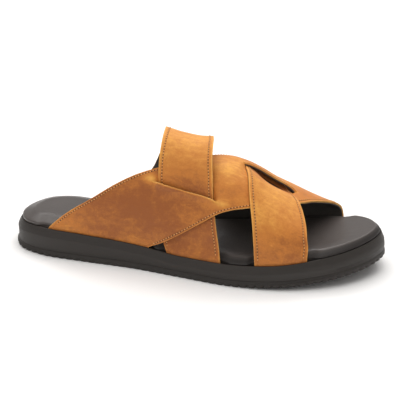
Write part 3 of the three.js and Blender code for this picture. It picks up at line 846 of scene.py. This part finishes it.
def make_outsole(form):
    """The outsole: a rubber layer whose foot flares out to a lip with V notches."""
    size = form.size
    bm = bmesh.new()
    count = round(form.perimeter / size.tooth_pitch) * len(NOTCH)
    around = bm.verts.layers.float.new("around")
    made = bmesh.ops.create_circle(bm, cap_ends=False, segments=count, radius=1)
    for i, v in enumerate(made["verts"]):
        v[around] = i

    def spot(i, inset):
        place = (i % count) / count * EDGE_POINTS
        k = int(place)
        after = (k + 1) % EDGE_POINTS
        p = form.edge[k].lerp(form.edge[after], place - k)
        return p - form.normals[k].lerp(form.normals[after], place - k).normalized() * inset

    def bite(i, p):
        """Notch depth, fading along the waist."""
        along = p.x / size.sole_length
        waist = smoothstep(*WAIST_FROM, along) * (1 - smoothstep(*WAIST_TO, along))
        return size.tooth_depth * NOTCH[i % len(NOTCH)] * (1 - WAIST_LOSS * waist)

    def settle(verts, inset, lift, toothed):
        for v in verts:
            i = round(v[around])
            at_toe = smoothstep(*TOE_BEND, spot(i, inset).x / size.sole_length)
            flare = inset if inset >= 0 else inset * (1 - 0.5 * at_toe)
            p = spot(i, flare)
            p = spot(i, flare + bite(i, p)) if toothed else p
            v.co = Vector((p.x, p.y, lift(p.x)))

    high = size.tooth_height
    lip = -size.outsole_lip
    low, top = form.underside, form.outsole_top

    def ledge(x, share, toe_share):
        """Height of a ring above the teeth, higher at the toe."""
        share = mix(share, toe_share, smoothstep(*TOE_END, x / size.sole_length))
        return mix(low(x) + high, top(x), share)

    profile = (
        (lip * 0.75, lambda x: low(x) + 0.3 * MM, True),
        (lip, lambda x: low(x) + high * 0.5, True),
        (lip, lambda x: low(x) + high * 0.82, True),
        (lip + 0.1 * MM, lambda x: low(x) + high, False),
        (lip * 0.68, lambda x: ledge(x, 0.1, 0.32), False),
        (lip * 0.27, lambda x: ledge(x, 0.33, 0.72), False),
        (lip * 0.03, lambda x: top(x) - 0.3 * MM, False),
        (0.1 * MM, lambda x: top(x) - 0.02 * MM, False),
        (0.3 * MM, lambda x: top(x) - 0.02 * MM, False),
        (2.5 * MM, top, False),
    )
    settle(made["verts"], lip * 0.5, low, True)
    edges = bottom_ring = list(bm.edges)
    for inset, lift, toothed in profile:
        geom = bmesh.ops.extrude_edge_only(bm, edges=edges)["geom"]
        settle([g for g in geom if isinstance(g, bmesh.types.BMVert)], inset, lift, toothed)
        edges = [g for g in geom if isinstance(g, bmesh.types.BMEdge) and len(g.link_faces) == 1]
    for inset, height, ring in ((3.0 * MM, low, bottom_ring), (4.0 * MM, top, edges)):
        rings = Rings(form, stations=110, columns=6)
        rings.cap(inset, lambda x, share: height(x))
        mesh = bpy.data.meshes.new("cap")
        rings.bm.to_mesh(mesh)
        rings.bm.free()
        before = set(bm.edges)
        bm.from_mesh(mesh)
        fresh = [e for e in bm.edges if e not in before and e.is_boundary]
        bmesh.ops.bridge_loops(bm, edges=[e for e in ring if e.is_valid] + fresh)
        bpy.data.meshes.remove(mesh)
    bmesh.ops.translate(bm, verts=bm.verts, vec=-form.centre)
    bmesh.ops.recalc_face_normals(bm, faces=bm.faces)
    return bm


def make_strap(strap, grid, slits=(), inset=0.0, out=0.0):
    """A strap's outer face as a grid, with its slits cut and their lips parted."""
    form = strap.form
    rows, columns = grid
    foot = form.size.groove_depth - form.size.fit_gap
    bm = bmesh.new()
    row_of = bm.verts.layers.float.new("row")
    share_of = bm.verts.layers.float.new("share")
    edge_of = bm.verts.layers.float.new("edge")
    rim_of = bm.verts.layers.float.new("rim")
    tone_of = bm.verts.layers.float.new("tone")
    step = 180 / rows
    made = bmesh.ops.create_grid(bm, x_segments=rows + 2 * FOOT_ROWS, y_segments=columns, size=1)
    for v in made["verts"]:
        v[row_of] = mix(-FOOT_ROWS * step, 180 + FOOT_ROWS * step, (v.co.x + 1) / 2)
        v[share_of] = (v.co.y + 1) / 2

    def on(v, slit):
        return abs(v[row_of] - slit.row) < step / 4

    def is_above(v, slit):
        if not on(v, slit):
            return v[row_of] > slit.row
        centres = [f.calc_center_median().x for f in v.link_faces]
        return min(centres) > v.co.x - 1e-6

    def turn_of(v):
        row = min(max(v[row_of], 0.0), 180.0)
        return row + sum(slit.warp(row, v[share_of], is_above(v, slit)) for slit in slits)

    def along_of(v):
        return strap.x_at(turn_of(v), v[share_of]) / form.size.sole_length

    for slit in slits:
        cut = [
            e
            for e in bm.edges
            if all(on(v, slit) for v in e.verts)
            and all(slit.start - CUT_BEYOND < along_of(v) < slit.end + CUT_BEYOND for v in e.verts)
        ]
        bmesh.ops.split_edges(bm, edges=cut)
    widths = {}
    moved = []
    for v in bm.verts:
        turn = turn_of(v)
        drop = max(-v[row_of], v[row_of] - 180, 0.0) / (FOOT_ROWS * step) * foot
        if v[row_of] not in widths:
            widths[v[row_of]] = strap.width(turn)
        width = widths[v[row_of]]
        share = mix(inset / width, 1 - inset / width, v[share_of])
        along = strap.x_at(turn, share) / form.size.sole_length
        lift = out
        for slit in slits:
            lift += slit.part(turn, along, is_above(v, slit))
        point, tone, _ = strap.place(turn, share, drop, lift)
        moved.append((v, point))
        v[edge_of] = min(share, 1 - share) * width
        v[rim_of] = min([v[edge_of]] + [slit.distance(turn, along) for slit in slits])
        v[tone_of] = tone
    for v, point in moved:
        v.co = point
    bm.normal_update()
    highest = max(bm.faces, key=lambda f: f.calc_center_median().z)
    if highest.normal.z < 0:
        bmesh.ops.reverse_faces(bm, faces=bm.faces)
    return bm


def add_wall(piece, thickness, round_off, rim_material=0):
    """Gives a face its wall, inwards, and rounds the wall's edges."""
    wall = piece.modifiers.new("Wall", "SOLIDIFY")
    wall.thickness = thickness
    wall.offset = -1
    wall.use_even_offset = True
    wall.material_offset_rim = rim_material
    bevel = piece.modifiers.new("Edges", "BEVEL")
    bevel.width = round_off
    bevel.segments = 2
    bevel.limit_method = "ANGLE"
    bevel.angle_limit = math.radians(50)
    weigh = piece.modifiers.new("Shading", "WEIGHTED_NORMAL")
    weigh.keep_sharp = True


def seam_places(strap, edge, size):
    """Evenly spaced places on a seam that runs beside an edge: point, direction and outward."""
    places = []
    turn = SEAM_START
    travelled = 0.0
    before = None
    while turn < SEAM_END:
        share = size.seam_inset / strap.width(turn)
        share = share if edge == "rear" else 1 - share
        point, _, normal = strap.place(turn, share)
        if before is not None:
            travelled += (point - before).length
            if travelled >= size.stitch_pitch:
                places.append((point, (point - before).normalized(), normal))
                travelled = 0.0
        before = point
        turn += SEAM_STEP
    return places


def make_stitches(seams, size):
    """One short thread for each stitch, bowed a little out of the leather."""
    bm = bmesh.new()
    for point, run, out in seams:
        side = out.cross(run).normalized()
        up = run.cross(side)
        turn = Matrix((side, run, up)).transposed().to_4x4()
        reach = size.stitch_pitch * STITCH_SHARE
        scale = Matrix.Diagonal((size.thread / 2, reach, size.thread / 2, 1))
        place = Matrix.Translation(point + out * size.thread * THREAD_LIFT) @ turn @ scale
        bmesh.ops.create_uvsphere(bm, u_segments=8, v_segments=6, radius=1, matrix=place)
    return bm


def make_needle_holes(seams, size):
    """A dark pit between each two stitches."""
    bm = bmesh.new()
    for point, run, out in seams:
        side = out.cross(run).normalized()
        turn = Matrix((run, side, out)).transposed().to_4x4()
        at = point + run * size.stitch_pitch / 2 - out * HOLE_SINK
        place = Matrix.Translation(at) @ turn
        bmesh.ops.create_cone(
            bm,
            cap_ends=True,
            segments=8,
            radius1=size.needle_hole,
            radius2=size.needle_hole * 0.8,
            depth=HOLE_DEPTH,
            matrix=place @ Matrix.Diagonal((1.25, 1, 1, 1)),
        )
    return bm


class Signal:
    """A shader socket that takes part in sums."""

    def __init__(self, graph, socket):
        self.graph, self.socket = graph, socket

    def _math(self, operation, *values):
        node = self.graph.node("ShaderNodeMath", {"operation": operation}, *values)
        return Signal(self.graph, node.outputs[0])

    def __add__(self, other):
        return self._math("ADD", self, other)

    __radd__ = __add__

    def __sub__(self, other):
        return self._math("SUBTRACT", self, other)

    def __rsub__(self, other):
        return self._math("SUBTRACT", other, self)

    def __mul__(self, other):
        return self._math("MULTIPLY", self, other)

    __rmul__ = __mul__

    def __abs__(self):
        return self._math("ABSOLUTE", self)

    def clamp(self):
        """Kept between 0 and 1."""
        node = self.graph.node("ShaderNodeClamp", {}, self)
        return Signal(self.graph, node.outputs[0])

    def step(self, low, high):
        """0 at low, 1 at high and smooth between."""
        node = self.graph.node(
            "ShaderNodeMapRange", {"interpolation_type": "SMOOTHSTEP"}, self, low, high
        )
        return Signal(self.graph, node.outputs[0])


class Graph:
    """A material and its nodes."""

    def __init__(self, name):
        self.material = bpy.data.materials.new(name)
        self.material.use_nodes = True
        self.tree = self.material.node_tree
        self.shader = self.tree.nodes["Principled BSDF"]
        place = self.node("ShaderNodeTexCoord", {})
        self.place = place.outputs["Object"]

    def node(self, kind, settings, *inputs, **named):
        """Adds a node: its settings first, then the values or links of its sockets."""
        made = self.tree.nodes.new(kind)
        for key, value in settings.items():
            setattr(made, key, value)
        for socket, value in zip(made.inputs, inputs):
            self.feed(socket, value)
        for key, value in named.items():
            self.feed(made.inputs[key.replace("_", " ")], value)
        return made

    def feed(self, socket, value):
        """Links a signal or socket, or sets a plain value."""
        if isinstance(value, Signal):
            value = value.socket
        if isinstance(value, bpy.types.NodeSocket):
            self.tree.links.new(value, socket)
        elif value is not None:
            socket.default_value = value

    def attribute(self, name):
        """A number stored on the mesh."""
        node = self.node("ShaderNodeAttribute", {"attribute_name": name})
        return Signal(self, node.outputs["Fac"])

    def stretched(self, turn, scale):
        """Object coordinates, turned and scaled."""
        node = self.node("ShaderNodeMapping", {}, self.place)
        node.inputs["Rotation"].default_value = turn
        node.inputs["Scale"].default_value = scale
        return node.outputs[0]

    def noise(self, size, detail=3.0, rough=0.55, warp=0.0, vector=None):
        """Noise with features of about this size in metres, around 0.5."""
        node = self.node(
            "ShaderNodeTexNoise",
            {},
            Vector=vector or self.place,
            Scale=1 / size,
            Detail=detail,
            Roughness=rough,
            Distortion=warp,
        )
        return Signal(self, node.outputs["Fac"])

    def cells(self, size):
        """Distance to the nearest of scattered points, with cells of about this size."""
        node = self.node("ShaderNodeTexVoronoi", {"feature": "F1"}, Vector=self.place, Scale=1 / size)
        return Signal(self, node.outputs["Distance"])

    def blend(self, a, b, factor):
        """Colour a going to colour b."""
        node = self.node("ShaderNodeMix", {"data_type": "RGBA"})
        self.feed(node.inputs["Factor"], factor)
        self.feed(node.inputs[6], a)
        self.feed(node.inputs[7], b)
        return node.outputs[2]

    def bump(self, height, depth, below=None):
        """Turns a height between 0 and 1 into relief of this depth in metres."""
        node = self.node("ShaderNodeBump", {}, Height=height)
        node.inputs["Distance"].default_value = depth
        if below is not None:
            self.feed(node.inputs["Normal"], below)
        return node.outputs[0]

    def set(self, **values):
        """Feeds the surface shader."""
        for key, value in values.items():
            self.feed(self.shader.inputs[key.replace("_", " ")], value)
        return self.material


def rgba(colour):
    return (*colour, 1.0)


def leather_material(colours, size):
    """Oiled leather: mottled tones, pull-up where it bends, a seam groove with painted shade, painted
    shadow in the front slit's dip, fine grain and scuffs.
    """
    g = Graph("oiled_leather")
    edge = g.attribute("edge")
    tone = g.attribute("tone")
    rim = g.attribute("rim")
    cloud = g.noise(0.03, 3.0, 0.5, 0.3)
    mottle = g.noise(0.005, 4.0, 0.6, 0.4)
    fibre = g.noise(0.0012, 2.0, 0.7)
    streak = g.noise(0.02, 4.0, 0.65, 0.6, g.stretched((0.9, 0.5, 0.9), (1, 5, 3)))
    light = (cloud - 0.5) * 1.1 + (mottle - 0.5) * 0.9 + (streak - 0.5) * 0.9 + tone
    light = light + (fibre - 0.5) * 0.5 + (1 - rim.step(0.0001, 0.0011)) * 0.75
    dark = (0 - light).step(-0.1, 0.8)
    pale = light.step(-0.05, 1.1)
    scratch = g.noise(0.012, 3.0, 0.6, 0.5, g.stretched((0.2, 0.9, 0.5), (1, 9, 3)))
    scratch = scratch.step(0.58, 0.72) * g.noise(0.015).step(0.4, 0.6) * (1 - dark)
    colour = g.blend(rgba(colours.leather), rgba(colours.leather_dark), dark)
    colour = g.blend(colour, rgba(colours.leather_light), (pale * 0.85 + scratch * 0.25).clamp())
    # Painted shadow: near-black where a fold's tone runs very low, which is the toe strap's dip inside
    # the front slit.
    colour = g.blend(colour, PAINTED_SHADOW, (0 - tone).step(1.1, 1.6))
    # The seam's groove: bumped in, and painted with shade a quarter of the way towards the dark tone.
    seam = 1 - abs(edge - size.seam_inset).step(0.0003, 0.0009)
    colour = g.blend(colour, rgba(colours.leather_dark), seam * 0.25)
    grain = 1 - g.cells(0.0011).step(0.0, 0.6)
    pores = g.noise(0.0005, 2.0, 0.6)
    relief = g.bump(grain * 0.5 + pores * 0.5, 0.00009)
    relief = g.bump(mottle * 0.6 + cloud * 0.4, 0.0007, relief)
    relief = g.bump(0 - seam, 0.00012, relief)
    rough = 0.56 + (mottle - 0.5) * 0.3 + dark * -0.06 + scratch * 0.1
    g.set(Sheen_Weight=0.08, Sheen_Roughness=0.45, Specular_IOR_Level=0.38)
    return g.set(Base_Color=colour, Roughness=rough, Normal=relief)


def cut_edge_material(colours):
    """The raw edge of the leather: pale, fibrous and dry."""
    g = Graph("cut_edge")
    fibre = g.noise(0.0006, 4.0, 0.7)
    patch = g.noise(0.006, 3.0)
    tone = (fibre * 0.6 + patch * 0.6 - 0.1).clamp()
    colour = g.blend(rgba(colours.leather), rgba(colours.cut_edge), tone.step(0.2, 0.6))
    return g.set(Base_Color=colour, Roughness=0.85, Normal=g.bump(fibre, 0.00015))


def lining_material(colours):
    """The black lining inside the straps: smooth, with a fine grain."""
    g = Graph("lining")
    grain = g.cells(0.0009)
    rough = 0.6 + (g.noise(0.01) - 0.5) * 0.2
    return g.set(Base_Color=rgba(colours.lining), Roughness=rough, Normal=g.bump(grain, 0.00006))


def thread_material(colours):
    """Waxed thread with its twist."""
    g = Graph("thread")
    twist = g.noise(0.0004, 2.0)
    colour = g.blend(rgba(colours.thread), rgba(colours.leather_light), twist)
    return g.set(Base_Color=colour, Roughness=0.6, Normal=g.bump(twist, 0.0001))


def pit_material():
    """The shadow in a needle hole."""
    g = Graph("needle_hole")
    depth = g.noise(0.002)
    colour = g.blend(PIT_BROWN, PIT_DARK, depth.step(0.2, 0.6))
    return g.set(Base_Color=colour, Roughness=0.9)


def footbed_material(colours):
    """The footbed's black leather: fine grain, faint dust and a soft polish where a foot rests, with
    painted shade down its shoulder and a painted highlight along its ridge.
    """
    g = Graph("footbed_leather")
    cloud = g.noise(0.03, 4.0)
    dust = g.noise(0.0016, 4.0, 0.7)
    grain = 1 - g.cells(0.0013).step(0.0, 0.7)
    base = colours.footbed
    pale = tuple(c * 1.9 + 0.006 for c in base)
    colour = g.blend(rgba(base), rgba(pale), (cloud * 0.7 + dust * 0.5 - 0.25).clamp())
    # Painted shade: darker down the shoulder's slope as it falls below the crown.
    fall = g.attribute("fall")
    low = fall.step(0.0004, 0.0026)
    colour = g.blend(colour, tuple(c * 0.4 for c in base) + (1,), low * 0.8)
    # Painted highlight: a lighter grey band along the shoulder's ridge.
    ridge_highlight = 1 - abs(fall - 0.0003).step(0.0001, 0.0006)
    colour = g.blend(colour, PAINTED_RIDGE_HIGHLIGHT, ridge_highlight * 0.55)
    rough = 0.42 + (cloud - 0.5) * 0.2 + (dust - 0.5) * 0.15 + low * 0.15 - ridge_highlight * 0.08
    relief = g.bump(grain * 0.6 + dust * 0.4, 0.00008)
    relief = g.bump(cloud, 0.0006, relief)
    return g.set(Base_Color=colour, Roughness=rough, Normal=relief)


def rubber_material(colours, name, pebble, lighter):
    """Moulded rubber or foam: matte, with a fine pebble and faint flow marks."""
    g = Graph(name)
    fine = g.noise(pebble, 3.0, 0.6)
    flow = g.noise(0.02, 4.0, 0.6, 0.5)
    base = tuple(c * lighter for c in colours.rubber)
    pale = tuple(c * 1.7 for c in base)
    colour = g.blend(rgba(base), rgba(pale), (flow * 0.6 + fine * 0.9 - 0.5).clamp())
    rough = 0.55 + (flow - 0.5) * 0.2 + (fine - 0.5) * 0.3
    relief = g.bump(fine, 0.00012)
    relief = g.bump(flow, 0.0003, relief)
    return g.set(Base_Color=colour, Roughness=rough, Normal=relief)


def current(context):
    """The form and the colours that the scene is set to."""
    scene = context.scene
    return Form(scene.sandal_sizes), scene.sandal_colours


class SANDAL_OT_outsole(bpy.types.Operator):
    """Make the outsole with its lip and teeth"""

    bl_idname = "sandal.outsole"
    bl_label = "Outsole"

    def execute(self, context):
        form, colours = current(context)
        rubber = rubber_material(colours, "outsole_rubber", 0.0007, 0.92)
        new_piece(make_outsole(form), "outsole_rubber", "outsole", [rubber])
        return {"FINISHED"}


class SANDAL_OT_midsole(bpy.types.Operator):
    """Make the midsole cup with its rim and bevel"""

    bl_idname = "sandal.midsole"
    bl_label = "Midsole"

    def execute(self, context):
        form, colours = current(context)
        foam = rubber_material(colours, "midsole_foam", 0.0005, 1.0)
        new_piece(make_midsole(form), "midsole_cup", "midsole", [foam])
        return {"FINISHED"}


class SANDAL_OT_footbed(bpy.types.Operator):
    """Make the dished footbed"""

    bl_idname = "sandal.footbed"
    bl_label = "Footbed"

    def execute(self, context):
        form, colours = current(context)
        cover = footbed_material(colours)
        new_piece(make_footbed(form), "footbed_cover", "footbed", [cover])
        return {"FINISHED"}


def straps(form):
    """The three straps with the wing's slits, as name, strap, grid and slits."""
    wing = Strap(form, WING_STRAP, WING_FOLDS)
    instep = Strap(form, INSTEP_STRAP, INSTEP_FOLDS)
    toe = Strap(form, TOE_STRAP, TOE_FOLDS)
    rear = Slit(wing, instep, REAR_SLIT, REAR_SLIT_ROW)
    front = Slit(wing, toe, FRONT_SLIT, FRONT_SLIT_ROW, form.size.slit_gape)
    return (
        ("wing", wing, WING_GRID, (rear, front)),
        ("instep", instep, NARROW_GRID, ()),
        ("toe", toe, NARROW_GRID, ()),
    )


class SANDAL_OT_straps(bpy.types.Operator):
    """Make the three leather straps"""

    bl_idname = "sandal.straps"
    bl_label = "Straps"

    def execute(self, context):
        form, colours = current(context)
        size = form.size
        leather = leather_material(colours, size)
        edge = cut_edge_material(colours)
        for name, strap, grid, slits in straps(form):
            bm = make_strap(strap, grid, slits)
            piece = new_piece(bm, name + "_strap", "upper", [leather, edge])
            add_wall(piece, size.leather, LEATHER_ROUND, 1)
        return {"FINISHED"}


class SANDAL_OT_linings(bpy.types.Operator):
    """Make the lining inside each strap"""

    bl_idname = "sandal.linings"
    bl_label = "Linings"

    def execute(self, context):
        form, colours = current(context)
        size = form.size
        black = lining_material(colours)
        for name, strap, grid, slits in straps(form):
            bm = make_strap(strap, grid, slits, LINING_INSET, -size.leather - LINING_GAP)
            piece = new_piece(bm, name + "_lining", "upper", [black])
            add_wall(piece, size.lining, LINING_ROUND)
        return {"FINISHED"}


class SANDAL_OT_seams(bpy.types.Operator):
    """Sew a row of stitches beside each edge of the straps"""

    bl_idname = "sandal.seams"
    bl_label = "Seams"

    def execute(self, context):
        form, colours = current(context)
        size = form.size
        thread = thread_material(colours)
        pit = pit_material()
        for name, strap, *_ in straps(form):
            seams = seam_places(strap, "rear", size) + seam_places(strap, "front", size)
            bm = make_stitches(seams, size)
            new_piece(bm, name + "_stitches", "upper", [thread])
            bm = make_needle_holes(seams, size)
            new_piece(bm, name + "_needle_holes", "upper", [pit], False)
        return {"FINISHED"}


def view_axes(azimuth, elevation):
    """The view's right, up and backward directions."""
    a, e = math.radians(azimuth), math.radians(elevation)
    back = Vector((math.sin(a) * math.cos(e), -math.cos(a) * math.cos(e), math.sin(e)))
    right = Vector((math.cos(a), math.sin(a), 0))
    return right, back.cross(right), back


def add_camera():
    """The camera at the photograph's angle."""
    right, up, back = view_axes(CAMERA_AZIMUTH, CAMERA_ELEVATION)
    roll = math.radians(CAMERA_ROLL)
    across = right * math.cos(roll) + up * math.sin(roll)
    above = up * math.cos(roll) - right * math.sin(roll)
    data = bpy.data.cameras.new("camera")
    data.lens = CAMERA_LENS
    data.sensor_width = CAMERA_SENSOR
    data.clip_start = CAMERA_START
    camera = bpy.data.objects.new("camera", data)
    turn = Matrix((across, above, back)).transposed().to_4x4()
    camera.matrix_world = Matrix.Translation(CAMERA_TARGET + back * CAMERA_DISTANCE) @ turn
    bpy.context.collection.objects.link(camera)
    bpy.context.scene.camera = camera


def add_light(row):
    """A soft rectangular light that faces the sandal, from a row of the lights."""
    _, _, back = view_axes(row.azimuth, row.elevation)
    data = bpy.data.lights.new(row.name, "AREA")
    data.shape = "RECTANGLE"
    data.size, data.size_y = row.width, row.height
    data.energy = row.power
    data.color = row.colour
    light = bpy.data.objects.new(row.name, data)
    light.location = back * row.distance + LIGHT_TARGET
    light.rotation_mode = "QUATERNION"
    light.rotation_quaternion = back.to_track_quat("Z", "Y")
    light.visible_glossy = row.shines
    bpy.context.collection.objects.link(light)


class SANDAL_OT_stage(bpy.types.Operator):
    """Set the pale floor, the soft lights and the camera"""

    bl_idname = "sandal.stage"
    bl_label = "Stage"

    def execute(self, context):
        bm = bmesh.new()
        bmesh.ops.create_grid(bm, x_segments=2, y_segments=2, size=FLOOR_REACH)
        mesh = bpy.data.meshes.new("floor")
        bm.to_mesh(mesh)
        bm.free()
        g = Graph("pale_floor")
        g.set(Base_Color=FLOOR_WHITE, Roughness=0.8)
        mesh.materials.append(g.material)
        floor = bpy.data.objects.new("floor", mesh)
        context.collection.objects.link(floor)
        world = bpy.data.worlds.new("studio")
        world.use_nodes = True
        background = world.node_tree.nodes["Background"]
        background.inputs["Color"].default_value = WORLD_WHITE
        background.inputs["Strength"].default_value = WORLD_STRENGTH
        context.scene.world = world
        for row in LIGHTS:
            add_light(row)
        context.scene.view_settings.view_transform = "Standard"
        add_camera()
        return {"FINISHED"}


class SANDAL_PT_panel(bpy.types.Panel):
    """The sandal's sizes, colours and pieces"""

    bl_label = "Sandal"
    bl_idname = "SANDAL_PT_panel"
    bl_space_type = "VIEW_3D"
    bl_region_type = "UI"
    bl_category = "Sandal"

    def draw(self, context):
        layout = self.layout
        for group in (context.scene.sandal_sizes, context.scene.sandal_colours):
            column = layout.column()
            for name in group.__annotations__:
                column.prop(group, name)
        for operator in OPERATORS:
            layout.operator(operator.bl_idname)


OPERATORS = (
    SANDAL_OT_outsole,
    SANDAL_OT_midsole,
    SANDAL_OT_footbed,
    SANDAL_OT_straps,
    SANDAL_OT_linings,
    SANDAL_OT_seams,
    SANDAL_OT_stage,
)
CLASSES = (SandalSizes, SandalColours, *OPERATORS, SANDAL_PT_panel)


def register():
    for cls in CLASSES:
        bpy.utils.register_class(cls)
    bpy.types.Scene.sandal_sizes = PointerProperty(type=SandalSizes)
    bpy.types.Scene.sandal_colours = PointerProperty(type=SandalColours)


def unregister():
    del bpy.types.Scene.sandal_colours
    del bpy.types.Scene.sandal_sizes
    for cls in reversed(CLASSES):
        bpy.utils.unregister_class(cls)


def main():
    """Makes every piece in order."""
    register()
    bpy.ops.sandal.outsole()
    bpy.ops.sandal.midsole()
    bpy.ops.sandal.footbed()
    bpy.ops.sandal.straps()
    bpy.ops.sandal.linings()
    bpy.ops.sandal.seams()
    bpy.ops.sandal.stage()


if __name__ == "__main__":
    main()
